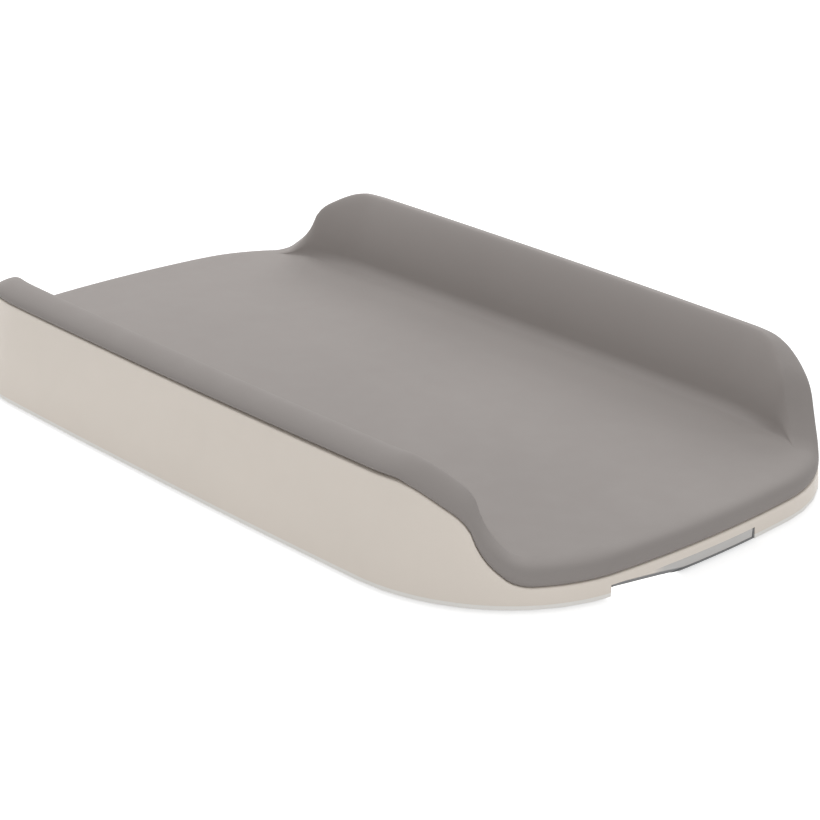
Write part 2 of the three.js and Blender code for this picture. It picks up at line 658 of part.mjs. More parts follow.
// Batteries with a spring at one end and a plate at the other, turned about from one to the next
const cellFrom = BATTERY_X - ((BATTERY_COUNT - 1) / 2) * BATTERY_PITCH;
const springAt = (x, wallY, towards) => {
  const places = [];
  const turns = 3;
  for (let step = 0; step <= turns * 6; step += 1) {
    const angle = (step / 6) * 2 * Math.PI;
    const reach = 4.6 - 1.6 * (step / (turns * 6));
    const along = 1.4 + 5.4 * (step / (turns * 6));
    places.push([x + reach * Math.cos(angle), wallY + towards * along, BATTERY_Z + reach * Math.sin(angle)]);
  }
  return wire(places, 0.45, 20, 4);
};
for (let index = 0; index < BATTERY_COUNT; index += 1) {
  const x = cellFrom + index * BATTERY_PITCH;
  const facing = index % 2 === 0 ? 1 : -1;
  const plateY = BATTERY_Y + facing * bayY;
  const noseY = plateY - facing * 1.7;
  const places = [
    [0, 0], [2.6, 0], [2.6, 1.4], [BATTERY_RADIUS - 0.6, 1.4], [BATTERY_RADIUS, 2],
    [BATTERY_RADIUS, BATTERY_LENGTH], [0, BATTERY_LENGTH],
  ].map(([radius, along]) => new THREE.Vector2(radius, along));
  const body = new THREE.LatheGeometry(places, 12);
  if (facing > 0) body.rotateZ(Math.PI);
  const number = index + 1;
  addPiece(`battery_${number}`, body.translate(x, noseY, BATTERY_Z), 0x4d5358, 0.35);
  addPiece(`contact_plate_${number}`, block(
    x - 5,
    x + 5,
    Math.min(plateY - facing * GAP, plateY - facing * 1.2),
    Math.max(plateY - facing * GAP, plateY - facing * 1.2),
    BATTERY_Z - 5,
    BATTERY_Z + 5,
  ), 0xc8c8c4, 0.25, 1);
  addPiece(`contact_spring_${number}`, springAt(x, BATTERY_Y - facing * bayY, facing), 0xc8c8c4, 0.25, 1);
}

// Battery door on two pins
const pins = [-1, 1].map((side) => {
  const pin = new THREE.CylinderGeometry(DOOR_PIN_RADIUS, DOOR_PIN_RADIUS, DOOR_PIN_LENGTH, 10);
  pin.rotateZ(Math.PI / 2);
  return pin.translate(BATTERY_X + side * (doorX + DOOR_PIN_LENGTH / 2 - 0.8), doorAxisY, DOOR_AXIS_HEIGHT);
});
addPiece('battery_door', build(
  [aroundBay(doorX, doorY, FLOOR_GAP, FLOOR_GAP + DOOR_THICKNESS), ...pins],
  [],
), 0xd0cac2, 0.5);

// Looms from the load cells and the battery bay to the board
const loomZ = COVER_TOP + GAP + 1.6;
const cellMiddle = CELL_BOTTOM + CELL_THICKNESS / 2;
const cellEdgeX = FOOT_X - CELL_SIZE / 2 - 0.5;
const cellEdgeY = FOOT_Y - CELL_SIZE / 2 - 0.5;
const looms = {
  loom_front_left: [
    [-cellEdgeX, -FOOT_Y, cellMiddle], [11 - cellEdgeX, -FOOT_Y - 2, 9.5],
    [26 - cellEdgeX, -FOOT_Y - 10, loomZ],
    [boardLeft - 28, BOARD_Y + 37, loomZ], [boardLeft - 15, BOARD_Y + 17, 10.5],
    [boardLeft - 5, BOARD_Y + 9.5, boardMiddle], [boardLeft - 0.7, BOARD_Y + 9, boardMiddle],
  ],
  loom_front_right: [
    [cellEdgeX, -FOOT_Y, cellMiddle], [cellEdgeX - 11, -FOOT_Y - 2, 9.5],
    [cellEdgeX - 26, -FOOT_Y - 10, loomZ],
    [boardRight + 53, BOARD_Y + 19, loomZ], [boardRight + 19, BOARD_Y + 1, 10],
    [boardRight + 5, BOARD_Y - 1, boardMiddle], [boardRight + 0.7, BOARD_Y - 1, boardMiddle],
  ],
  loom_rear_left: [
    [-FOOT_X, cellEdgeY, cellMiddle], [1 - FOOT_X, cellEdgeY - 11, 9.5], [3 - FOOT_X, cellEdgeY - 28, loomZ],
    [5 - FOOT_X, cellEdgeY - 46, loomZ], [9 - FOOT_X, FOOT_Y - 200, loomZ],
    [25 - FOOT_X, BATTERY_Y + 105, loomZ],
    [boardLeft - 18, BOARD_Y + 83, loomZ], [boardLeft - 15, BOARD_Y + 65, loomZ],
    [boardLeft - 11, BOARD_Y + 37, 10.5], [boardLeft - 5, BOARD_Y + 26, boardMiddle],
    [boardLeft - 0.7, BOARD_Y + 25, boardMiddle],
  ],
  loom_rear_right: [
    [FOOT_X, cellEdgeY, cellMiddle], [FOOT_X - 1, cellEdgeY - 11, 9.5], [FOOT_X - 3, cellEdgeY - 28, loomZ],
    [FOOT_X - 5, cellEdgeY - 46, loomZ], [FOOT_X - 13, FOOT_Y - 200, loomZ],
    [FOOT_X - 43, BATTERY_Y + 105, loomZ],
    [boardRight + 59, BOARD_Y + 83, loomZ], [boardRight + 49, BOARD_Y + 65, loomZ],
    [boardRight + 19, BOARD_Y + 27, 10.5], [boardRight + 5, BOARD_Y + 18, boardMiddle],
    [boardRight + 0.7, BOARD_Y + 17, boardMiddle],
  ],
  battery_lead: [
    [BATTERY_X - 25, BATTERY_Y - bayY - BAY_WALL - 0.5, BATTERY_Z],
    [BATTERY_X - 25.5, BATTERY_Y - bayY - BAY_WALL - 7, BATTERY_Z], [BOARD_X + 1, boardRear + 25, BATTERY_Z],
    [BOARD_X, boardRear + 5, boardMiddle], [BOARD_X, boardRear + 0.7, boardMiddle],
  ],
};
Object.entries(looms).forEach(([name, places]) => {
  const color = name === 'battery_lead' ? 0x8c2f2a : 0x3d3f42;
  addPiece(name, wire(places, 1.2, Math.round(places.length * 2.5), 5), color, 0.6);
});

// Screws: a headed shank with a drive hollow, pointing up from the underside
const screw = (x, y, headBottom, seat, top, headRadius, shankRadius) => turned(x, y, [
  [0, headBottom + 0.7], [1.4, headBottom], [headRadius, headBottom], [headRadius, seat - GAP],
  [shankRadius, seat - GAP], [shankRadius, top - 1], [0, top],
], 8);
SCREW_PLACES.forEach(([x, y], index) => {
  const body = screw(x, y, FLOOR_GAP + 0.2, SCREW_SEAT, SCREW_TOP, SCREW_HEAD_RADIUS, SCREW_SHANK_RADIUS);
  addPiece(`cover_screw_${index + 1}`, body, 0x9a9c9f, 0.35, 1);
});
BOARD_HOLES.forEach(([x, y], index) => {
  const body = screw(x, y, BOARD_BOTTOM - 2, BOARD_BOTTOM, DECK_UNDER - 1.2, 2.6, 1);
  addPiece(`board_screw_${index + 1}`, body, 0x9a9c9f, 0.35, 1);
});

export default station;
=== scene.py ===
"""Baby changing station: a moulded foam pad on a low base with a display strip in its front lip."""

import json
import math
from collections import namedtuple

import bmesh
import bpy
from bpy.props import FloatProperty, FloatVectorProperty, IntProperty, PointerProperty
from mathutils import Matrix, Vector

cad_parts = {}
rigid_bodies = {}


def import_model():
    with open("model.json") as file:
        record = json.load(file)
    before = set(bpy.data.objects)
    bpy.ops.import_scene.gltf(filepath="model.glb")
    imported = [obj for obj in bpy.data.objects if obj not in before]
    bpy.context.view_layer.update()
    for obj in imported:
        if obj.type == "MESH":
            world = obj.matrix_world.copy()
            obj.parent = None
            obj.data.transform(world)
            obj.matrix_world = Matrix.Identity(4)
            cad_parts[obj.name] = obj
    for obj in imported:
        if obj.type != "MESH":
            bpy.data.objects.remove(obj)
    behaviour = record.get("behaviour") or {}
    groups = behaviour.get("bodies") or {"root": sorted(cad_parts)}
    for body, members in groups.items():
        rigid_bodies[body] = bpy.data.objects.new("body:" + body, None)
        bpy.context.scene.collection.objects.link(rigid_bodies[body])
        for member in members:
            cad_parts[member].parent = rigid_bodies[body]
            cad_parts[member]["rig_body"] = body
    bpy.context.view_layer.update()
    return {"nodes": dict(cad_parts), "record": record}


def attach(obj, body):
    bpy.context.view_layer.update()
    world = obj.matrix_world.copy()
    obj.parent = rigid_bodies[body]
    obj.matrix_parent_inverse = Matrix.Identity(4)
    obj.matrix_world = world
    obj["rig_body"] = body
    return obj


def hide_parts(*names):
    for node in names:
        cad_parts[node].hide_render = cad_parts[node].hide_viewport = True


bl_info = {
    "name": "Baby changing station",
    "version": (1, 0, 0),
    "blender": (4, 5, 0),
    "location": "View3D > Sidebar > Changing station",
    "description": "Models a changing station with its foam pad, moulded base and display strip",
    "category": "Object",
}

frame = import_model()

# How the rim falls round each corner: turn from side to end in degrees, share of the side's height.
RIM_FALL = (
    (11.3, 1.0), (17.6, 0.965), (23.0, 0.9), (28.4, 0.815), (33.5, 0.72), (37.1, 0.6), (39.8, 0.41),
    (42.7, 0.268), (46.3, 0.15), (50.8, 0.042), (56.4, 0.0),
)

# Course of the dark line along the display strip: place across the front and height.
LINE_SWEEP = (
    (-0.128, 0.0134), (-0.0906, 0.0103), (-0.0662, 0.0079), (-0.045, 0.0050), (-0.0355, 0.0037),
    (-0.02, 0.0033), (0.063, 0.0033),
)
# Height that the ramp's full value stands for.
LINE_SCALE = 0.02
# The line is dark out to the first distance from its middle and gone at the second.
LINE_EDGE = (0.0009, 0.0022)
# The painted white highlight, a reflection painted into the strip's colour that also glows, begins between
# these heights over the line's middle, and lies below them.
PAINTED_HIGHLIGHT_EDGE = (-0.0016, -0.0012)
# Right of these places the strip's end is dark too.
LINE_END = (0.0584, 0.0588)
# The strip has the base's colour left of the first place and its own right of the second.
LIP_FADE = (-0.074, -0.060)

# Steps of the stretches in a section through the base.
RIM_STEPS = 4
SKIRT_STEPS = 4
# Steps of the window's cut along the front, and how far the cut reaches past the skirt.
WINDOW_STEPS = 32
WINDOW_PAST = 0.004

# Steps of the stretches in a section through the pad.
FOOT_STEPS = 5
BORDER_STEPS = 12
FACE_STEPS = 14
FILLET_STEPS = 8
BED_STEPS = 5
# Rings in the middle of the bed, as shares of the ring where the bed has settled.
BED_SCALES = (0.85, 0.7, 0.55, 0.4, 0.25, 0.12, 0.05)
# Share of the dish's depth that is reached where the bed has settled.
DISH_EDGE = 0.6
# Share of the half width where the border begins to widen, and the share over which it does.
SWING_FROM = 0.33
SWING_RUN = 0.3
# How full the inner face's curve is at its crest and at its foot.
FACE_CREST = 0.18
FACE_FOOT = 0.45
# Most of the inner face's height that its foot's rounding takes.
FILLET_MOST = 0.45
# Least sideways part of the outward direction that the inner slope's foot is worked out with.
LEAST_TURN = 0.05
# How softly the inner slope passes to its least width and to its point, and its width at the point.
SLOPE_BLEND = 0.12
POINT_BLEND = 0.08
POINT_WIDTH = 0.03
# Share of the side's height above which the gap under the border opens.
SLOT_RIM = 0.97
# Share of the pad's gap that is kept across the raised deck's sloping edge.
DECK_GAP = 0.4

# Edges turn crisp above these angles between their faces.
CREASE = math.radians(35.0)
PAD_CREASE = math.radians(70.0)
# Edges above the first angle are softened, and faces below the second count as one.
SHARP = math.radians(50.0)
FLAT = math.radians(1.0)
# Points closer than this are one.
WELD = 1e-6

# Range that most of a noise's values lie in.
NOISE_RANGE = (0.3, 0.7)
LEAST_ROUGHNESS = 0.02

# Lamps: name, the setting that holds the power, place and width.
LAMPS = (
    ("key_lamp", "key", (0.25, 1.5, 1.9), 2.2),
    ("side_lamp", "side", (2.2, 0.9, 1.45), 1.2),
    ("front_lamp", "front", (-1.1, -2.4, 0.8), 1.2),
)
FLOOR_RADIUS = 60.0
SENSOR_WIDTH = 36.0
CAMERA_REACH = 200.0
WHITE = (1.0, 1.0, 1.0, 1.0)

# A place on the outline: position, outward direction, height of the rim and how far the rim leans in.
Station = namedtuple("Station", "x y out_x out_y rim lean")


def metres(name, description, default, low=0.0, high=10.0):
    """A size in metres that a user may change."""
    return FloatProperty(
        name=name, description=description, default=default, min=low, max=high, unit="LENGTH"
    )


def number(name, description, default):
    """A plain number that a user may change."""
    return FloatProperty(name=name, description=description, default=default)


def colour(name, description, default):
    """A linear colour that a user may change."""
    return FloatVectorProperty(
        name=name, description=description, default=default, size=3, min=0.0, max=1.0, subtype="COLOR"
    )


class OutlineSettings(bpy.types.PropertyGroup):
    """Plan outline at the foot of the base."""

    length: metres("Length", "Length from end to end", 0.838)
    width: metres("Width", "Width from side to side", 0.540)
    corner_radius: metres("Corner radius", "Radius of the four corners", 0.165)
    end_radius: metres("End radius", "Radius of the gently curved ends", 1.299)
    side_radius: metres("Side radius", "Radius of the nearly straight sides", 10.485, 0.0, 100.0)
    side_steps: IntProperty(name="Side steps", description="Steps along half a side", default=8, min=2)
    corner_steps: IntProperty(name="Corner steps", description="Steps round a corner", default=44, min=8)
    end_steps: IntProperty(name="End steps", description="Steps along half an end", default=10, min=2)


class BaseSettings(bpy.types.PropertyGroup):
    """Moulded base with its skirt, rim and tray."""

    floor_gap: metres("Floor gap", "Gap between the cover and the floor", 0.003)
    skirt_bottom: metres("Skirt bottom", "Lower edge of the skirt", 0.00706)
    rim_end: metres("Rim at the ends", "Height of the rim at both ends", 0.0216)
    rim_side: metres("Rim at the sides", "Height of the rim along the sides", 0.0998)
    skirt_lean: number("Skirt lean", "Inward lean of the skirt per unit of height", 0.105)
    shell: metres("Shell", "Wall thickness of the moulding", 0.003)
    rim_round: metres("Rim round", "Radius of the rim's outer edge", 0.0016)
    ledge_width: metres("Ledge", "Width of the ledge under the pad's border", 0.010)
    tray_lean: metres("Tray lean", "Run of the tray's sloping wall", 0.004)
    plateau_inset: metres("Plateau inset", "Inset of the raised deck", 0.040)
    plateau_slope: metres("Plateau slope", "Run of the raised deck's edge", 0.005)
    plateau_top: metres("Plateau top", "Height of the raised deck", 0.0272)
    deck_inset: metres("Deck inset", "How much further in the raised deck's underside lies", 0.0012)
    window_left: metres("Window left", "Left end of the display window", -0.124, -1.0)
    window_right: metres("Window right", "Right end of the display window", 0.061, -1.0)
    window_top: metres("Window top", "Upper edge of the display window", 0.0137)
    window_depth: metres("Window depth", "Depth of the cut for the display", 0.0071)


class PadSettings(bpy.types.PropertyGroup):
    """Moulded foam pad."""

    edge: metres("Border height", "Height of the rolled border above the rim along the sides", 0.0182)
    front_edge: metres("Front edge", "Thickness of the border at the front", 0.0185)
    rear_edge: metres("Rear edge", "Thickness of the border at the rear", 0.0145)
    edge_foot: metres("Border foot", "Height of the border's tucked-in foot", 0.0050)
    edge_tuck: metres("Border tuck", "How far the border's foot is tucked in", 0.0036)
    slot_height: metres("Slot height", "Widest gap under the border along the sides", 0.0020)
    slot_depth: metres("Slot depth", "Depth of the gap under the border", 0.004)
    slot_from: metres("Slot start", "Place along the length where the gap begins to open", 0.24, -1.0)
    slot_run: metres("Slot run", "Length over which the gap opens", 0.42)
    edge_fullness: number("Border fullness", "Squareness of the border's rounding along the sides", 0.45)
    end_fullness: number("End fullness", "Squareness of the border's rounding at the ends", 0.70)
    round_share: number("Round share", "Share of the side's rise over which the border turns rounder", 0.8)
    outer_roll: metres("Outer roll", "Width of the border's outer rounding along the sides", 0.0225)
    end_roll: metres("End roll", "Width of the border's outer rounding at the ends", 0.0155)
    corner_roll: metres("Corner roll", "How much wider the outer rounding is where a side runs out", 0.006)
    inner_roll: metres("Inner roll", "Width of the border's inner rounding", 0.0235)
    face_lean: metres("Face lean", "Lean of the turned-up side's inner face", 0.0015)
    foot_fillet: metres("Foot fillet", "Rounding between bed and turned-up side", 0.012)
    least_slope: number("Least slope", "Share of the inner slope's width that is left at the corners", 0.2)
    bed_height: metres("Bed height", "Height of the bed at its edge", 0.038)
    bed_blend: number("Bed blend", "Share of the side's rise over which the bed's edge settles", 0.5)
    bed_reach: metres("Bed reach", "Inset at which the bed has settled all round", 0.118)
    bed_dish: metres("Bed dish", "Depth of the bed's hollow", 0.002)
    gap: metres("Gap", "Gap between the pad and the base", 0.0003)


class FinishSettings(bpy.types.PropertyGroup):
    """Colours of the visible finishes."""

    pad: colour("Pad", "Soft skin of the pad", (0.335, 0.307, 0.293))
    base: colour("Base", "Satin plastic of the base", (0.865, 0.79, 0.708))
    cover: colour("Cover", "Satin plastic of the underside cover", (0.94, 0.92, 0.88))
    lens: colour("Lens", "Polished display strip", (0.60, 0.585, 0.565))
    # Colour of the dark line that sweeps along the display strip and of the strip's right end.
    dark_line: colour("Line", "Dark line along the display", (0.18, 0.185, 0.19))
    # Painted highlight: a white reflection painted into the display's colour, which also makes it glow.
    field: colour("Field", "Lit field of the display", (0.95, 0.95, 0.95))


class StageSettings(bpy.types.PropertyGroup):
    """Camera, floor and light."""

    azimuth: number("Azimuth", "Camera's turn about the object", -43.949)
    elevation: number("Elevation", "Camera's height angle", 22.359)
    roll: number("Roll", "Camera's roll", 2.005)
    distance: metres("Distance", "Camera's distance from the base's middle", 2.30778, 0.1, 100.0)
    focal: number("Focal length", "Focal length in pixels", 2342.57)
    shift_x: number("Shift X", "Picture shift in pixels", -28.90)
    shift_y: number("Shift Y", "Picture shift in pixels", 4.12)
    picture: IntProperty(name="Picture", description="Picture width in pixels", default=820, min=16)
    floor: colour("Floor", "Plain pale floor", (0.68, 0.68, 0.68))
    floor_glow: number("Floor glow", "Light that the floor gives off", 0.06)
    floor_seen: number("Floor seen", "Floor's glow as the camera sees it", 0.62)
    ambient: number("Ambient", "Strength of the even light", 0.60)
    key: number("Key", "Power of the main soft lamp in watts", 26.0)
    side: number("Side", "Power of the low soft lamp at the right in watts", 14.0)
    front: number("Front", "Power of the low soft lamp in front in watts", 6.0)


SETTINGS = {
    "station_outline": OutlineSettings,
    "station_base": BaseSettings,
    "station_pad": PadSettings,
    "station_finish": FinishSettings,
    "station_stage": StageSettings,
}


def rim_slopes():
    """Slopes of the smooth falling curve through RIM_FALL."""
    steps = [(b[1] - a[1]) / (b[0] - a[0]) for a, b in zip(RIM_FALL, RIM_FALL[1:])]
    slopes = [0.0]
    for before, after in zip(steps, steps[1:]):
        flat = before * after <= 0.0
        slopes.append(0.0 if flat else 2.0 * before * after / (before + after))
    return slopes + [0.0]


def rim_share(degrees):
    """Share of the side's height that the rim has at this turn from side to end."""
    if degrees <= RIM_FALL[0][0]:
        return 1.0
    if degrees >= RIM_FALL[-1][0]:
        return 0.0
    slopes = rim_slopes()
    spot = max(i for i, (turn, _) in enumerate(RIM_FALL[:-1]) if turn <= degrees)
    (x0, y0), (x1, y1) = RIM_FALL[spot], RIM_FALL[spot + 1]
    span = x1 - x0
    t = (degrees - x0) / span
    blend = t * t * (3.0 - 2.0 * t)
    rise = (t * (1.0 - t) ** 2) * slopes[spot] - (t * t * (1.0 - t)) * slopes[spot + 1]
    return y0 + (y1 - y0) * blend + span * rise


def tangent_centre(outline):
    """Centre of the corner arc that touches the side arc and the end arc."""
    side = Vector((outline.width / 2 - outline.side_radius, 0.0))
    end = Vector((0.0, outline.length / 2 - outline.end_radius))
    from_side = outline.side_radius - outline.corner_radius
    from_end = outline.end_radius - outline.corner_radius
    span = end - side
    along = (span.length_squared + from_side ** 2 - from_end ** 2) / (2 * span.length)
    across = math.sqrt(from_side ** 2 - along ** 2)
    unit = span.normalized()
    foot = side + unit * along
    choices = (foot + Vector((-unit.y, unit.x)) * across, foot + Vector((unit.y, -unit.x)) * across)
    return side, end, max(choices, key=lambda point: point.y)


def outline_stations(scene):
    """Stations round the outline, each with its outward direction, rim height and lean."""
    outline, base = scene.station_outline, scene.station_base
    side, end, corner = tangent_centre(outline)
    side_turn = math.atan2(corner.y, corner.x - side.x)
    end_turn = math.atan2(corner.y - end.y, corner.x)
    stretches = (
        (0.0, side_turn, side, outline.side_radius, outline.side_steps),
        (side_turn, end_turn, corner, outline.corner_radius, outline.corner_steps),
        (end_turn, math.pi / 2, end, outline.end_radius, outline.end_steps),
    )
    turns = [
        (start + (stop - start) * i / steps, centre, radius)
        for start, stop, centre, radius, steps in stretches for i in range(steps)
    ]
    turns.append((math.pi / 2, end, outline.end_radius))
    quarter = []
    for turn, centre, radius in turns:
        out = Vector((math.cos(turn), math.sin(turn)))
        rim = base.rim_end + (base.rim_side - base.rim_end) * rim_share(math.degrees(turn))
        quarter.append((centre + out * radius, out, rim, base.skirt_lean * (rim - base.floor_gap)))
    inner = quarter[1:-1]
    order = [(q, 1, 1) for q in quarter]
    order += [(q, -1, 1) for q in reversed(inner)]
    order += [(q, -1, -1) for q in quarter]
    order += [(q, 1, -1) for q in reversed(inner)]
    return [
        Station(point.x * mx, point.y * my, out.x * mx, out.y * my, rim, lean)
        for (point, out, rim, lean), mx, my in order
    ]


def ring(stations, rule):
    """Points round the outline: rule gives inset and height for each station."""
    points = []
    for station in stations:
        inset, height = rule(station)
        points.append(Vector((station.x - station.out_x * inset, station.y - station.out_y * inset, height)))
    return points


def skin(rings):
    """A closed body grown ring by ring, with both ends filled."""
    body = bmesh.new()
    place = body.verts.layers.int.new("station")
    circle = bmesh.ops.create_circle(body, cap_ends=False, segments=len(rings[0]), radius=1.0)
    for index, vert in enumerate(circle["verts"]):
        vert[place] = index
        vert.co = rings[0][index]
    first = edges = list(body.edges)
    for points in rings[1:]:
        grown = bmesh.ops.extrude_edge_only(body, edges=edges)["geom"]
        verts = {item for item in grown if isinstance(item, bmesh.types.BMVert)}
        for vert in verts:
            vert.co = points[vert[place]]
        edges = [
            item for item in grown if isinstance(item, bmesh.types.BMEdge) and verts.issuperset(item.verts)
        ]
    bmesh.ops.contextual_create(body, geom=first)
    bmesh.ops.contextual_create(body, geom=edges)
    bmesh.ops.recalc_face_normals(body, faces=body.faces)
    return body


def clamp(part):
    """The part, held between 0 and 1."""
    return min(max(part, 0.0), 1.0)


def smooth(part):
    """An even rise from 0 to 1 that starts and ends level."""
    part = clamp(part)
    return part * part * (3.0 - 2.0 * part)


def hump(part):
    """A rise from 0 to 1 and back while the part goes from 0 to 1."""
    return 4.0 * part * (1.0 - part)


def soft_max(first, second, blend):
    """The larger value, with a soft passage this wide where the two cross."""
    return 0.5 * (first + second + math.hypot(first - second, blend))


def soft_min(first, second, blend):
    """The smaller value, with a soft passage this wide where the two cross."""
    return 0.5 * (first + second - math.hypot(first - second, blend))


def arc_steps(count):
    """Angles from 0 to a right angle."""
    return [math.pi / 2 * i / count for i in range(count + 1)]


def bezier(start, first, second, end, count):
    """Points along a smooth curve, without its start."""
    points = []
    for i in range(1, count + 1):
        t = i / count
        u = 1.0 - t
        weights = (u ** 3, 3 * u * u * t, 3 * u * t * t, t ** 3)
        points.append(tuple(
            sum(w * p[axis] for w, p in zip(weights, (start, first, second, end))) for axis in (0, 1)
        ))
    return points


def soften(mesh, limit):
    """Smooth shading with crisp edges above the limit angle."""
    body = bmesh.new()
    body.from_mesh(mesh)
    for face in body.faces:
        face.smooth = True
    for edge in body.edges:
        edge.smooth = len(edge.link_faces) == 2 and edge.calc_face_angle(0.0) < limit
    body.to_mesh(mesh)
    body.free()


def add_object(name, body, material, limit=CREASE):
    """Turns a bmesh into an object at the origin."""
    mesh = bpy.data.meshes.new(name)
    body.to_mesh(mesh)
    body.free()
    soften(mesh, limit)
    piece = bpy.data.objects.new(name, mesh)
    bpy.context.scene.collection.objects.link(piece)
    if material:
        mesh.materials.append(material)
    return piece


def subtract(piece, cutter):
    """Cuts the cutter out of the piece and removes the cutter."""
    change = piece.modifiers.new("Cut", "BOOLEAN")
    change.operation = "DIFFERENCE"
    change.solver = "EXACT"
    change.object = cutter
    graph = bpy.context.evaluated_depsgraph_get()
    mesh = bpy.data.meshes.new_from_object(piece.evaluated_get(graph))
    piece.modifiers.clear()
    old = piece.data
    piece.data = mesh
    mesh.name = piece.name
    bpy.data.meshes.remove(old)
    bpy.data.objects.remove(cutter)


def window_cutter(scene, name):
    """A bar along the front end's arc, swung about the arc's centre."""
    outline, base = scene.station_outline, scene.station_base
    centre = Vector((0.0, outline.end_radius - outline.length / 2, 0.0))
    low = math.asin(base.window_left / outline.end_radius)
    high = math.asin(base.window_right / outline.end_radius)
    front = -outline.length / 2
    near, far, top = front - WINDOW_PAST, front + base.window_depth, base.window_top
    body = bmesh.new()
    corners = [body.verts.new((0.0, y, z)) for y, z in ((near, 0.0), (far, 0.0), (far, top), (near, top))]
    bmesh.ops.contextual_create(body, geom=corners)
    turn = Matrix.Rotation(low, 3, "Z")
    bmesh.ops.rotate(body, cent=centre, matrix=turn, verts=body.verts)
    section = body.verts[:] + body.edges[:] + body.faces[:]
    bmesh.ops.spin(
        body, geom=section, cent=centre, axis=(0.0, 0.0, 1.0), angle=high - low, steps=WINDOW_STEPS,
        use_merge=False,
    )
    bmesh.ops.remove_doubles(body, verts=body.verts, dist=WELD)
    bmesh.ops.recalc_face_normals(body, faces=body.faces)
    return add_object(name, body, None)


class Finish:
    """A node material that is built up from socket values and layers of noise."""

    def __init__(self, name, base, roughness, metallic=0.0, **sockets):
        self.material = bpy.data.materials.new(name)
        self.material.use_nodes = True
        self.tree = self.material.node_tree
        self.shader = self.tree.nodes["Principled BSDF"]
        self.base = base
        self.roughness = roughness
        self.shader.inputs["Metallic"].default_value = metallic
        for socket, value in sockets.items():
            self.shader.inputs[socket.replace("_", " ")].default_value = value
        self.place = self.tree.nodes.new("ShaderNodeTexCoord").outputs["Object"]

    def noise(self, scale, detail=2.0, stretch=(1.0, 1.0, 1.0)):
        """Noise on the piece's own coordinates, in cycles per metre."""
        mapping = self.tree.nodes.new("ShaderNodeMapping")
        mapping.inputs["Scale"].default_value = stretch
        texture = self.tree.nodes.new("ShaderNodeTexNoise")
        texture.inputs["Scale"].default_value = scale
        texture.inputs["Detail"].default_value = detail
        self.tree.links.new(self.place, mapping.inputs["Vector"])
        self.tree.links.new(mapping.outputs["Vector"], texture.inputs["Vector"])
        return texture.outputs["Fac"]

    def tint(self, source, spread):
        """Varies the base colour a little, darker to lighter."""
        ramp = self.tree.nodes.new("ShaderNodeValToRGB")
        for element, place, factor in zip(
            ramp.color_ramp.elements, NOISE_RANGE, (1.0 - spread, 1.0 + spread)
        ):
            element.position = place
            element.color = [min(channel * factor, 1.0) for channel in self.base] + [1.0]
        self.tree.links.new(source, ramp.inputs["Fac"])
        self.tree.links.new(ramp.outputs["Color"], self.shader.inputs["Base Color"])
        return self

    def reckon(self, operation, first, second=0.0):
        """A sum on one or two values."""
        node = self.tree.nodes.new("ShaderNodeMath")
        node.operation = operation
        for value, socket in zip((first, second), node.inputs):
            if isinstance(value, float):
                socket.default_value = value
            else:
                self.tree.links.new(value, socket)
        return node.outputs[0]

    def span(self, source, low, high, at_low, at_high):
        """Maps one range onto another, clamped at both ends."""
        node = self.tree.nodes.new("ShaderNodeMapRange")
        for socket, value in zip(("From Min", "From Max", "To Min", "To Max"), (low, high, at_low, at_high)):
            node.inputs[socket].default_value = value
        self.tree.links.new(source, node.inputs["Value"])
        return node.outputs["Result"]

    def overlay(self, *layers):
        """Lays further colours over the base colour, each through its mask."""
        socket = self.shader.inputs["Base Color"]
        for mask, shade in layers:
            mix = self.tree.nodes.new("ShaderNodeMixRGB")
            mix.inputs["Color2"].default_value = (*shade, 1.0)
            self.tree.links.new(socket.links[0].from_socket, mix.inputs["Color1"])
            self.tree.links.new(mask, mix.inputs["Fac"])
            self.tree.links.new(mix.outputs["Color"], socket)
        return self

    def polish(self, source, spread):
        """Varies the roughness about its middle value."""
        smoothest = max(self.roughness - spread, LEAST_ROUGHNESS)
        varied = self.span(source, *NOISE_RANGE, smoothest, min(self.roughness + spread, 1.0))
        self.tree.links.new(varied, self.shader.inputs["Roughness"])
        return self

    def relief(self, *layers):
        """Stacks bumps: each layer is a source, a strength and a depth in metres."""
        normal = None
        for source, strength, depth in layers:
            bump = self.tree.nodes.new("ShaderNodeBump")
            bump.inputs["Strength"].default_value = strength
            bump.inputs["Distance"].default_value = depth
            self.tree.links.new(source, bump.inputs["Height"])
            if normal:
                self.tree.links.new(normal, bump.inputs["Normal"])
            normal = bump.outputs["Normal"]
        self.tree.links.new(normal, self.shader.inputs["Normal"])
        return self


def moulded(name, base, roughness):
    """Satin moulded plastic with a fine spark-eroded grain."""
    finish = Finish(name, base, roughness)
    finish.tint(finish.noise(7.0, detail=3.0), spread=0.02).polish(finish.noise(60.0), spread=0.05)
    finish.relief((finish.noise(1500.0), 0.25, 0.00006), (finish.noise(18.0), 0.12, 0.0004))
    return finish.material


def pad_skin(base):
    """Soft closed skin of moulded foam: fine pebble, slight unevenness, faint sheen."""
    finish = Finish(
        "soft pad skin", base, 0.74, Sheen_Weight=0.05, Sheen_Roughness=0.5, Specular_IOR_Level=0.25
    )
    finish.tint(finish.noise(5.0, detail=4.0), spread=0.025).polish(finish.noise(40.0), spread=0.06)
    finish.relief((finish.noise(900.0, detail=3.0), 0.3, 0.00012), (finish.noise(9.0), 0.1, 0.0012))
    return finish.material


def rolled_metal(name, base, roughness):
    """Metal with fine marks along one direction."""
    finish = Finish(name, base, roughness, metallic=1.0)
    marks = finish.noise(300.0, stretch=(1.0, 12.0, 1.0))
    finish.tint(finish.noise(40.0), spread=0.05).polish(marks, spread=0.1)
    finish.relief((finish.noise(900.0, stretch=(1.0, 10.0, 1.0)), 0.2, 0.00004))
    return finish.material


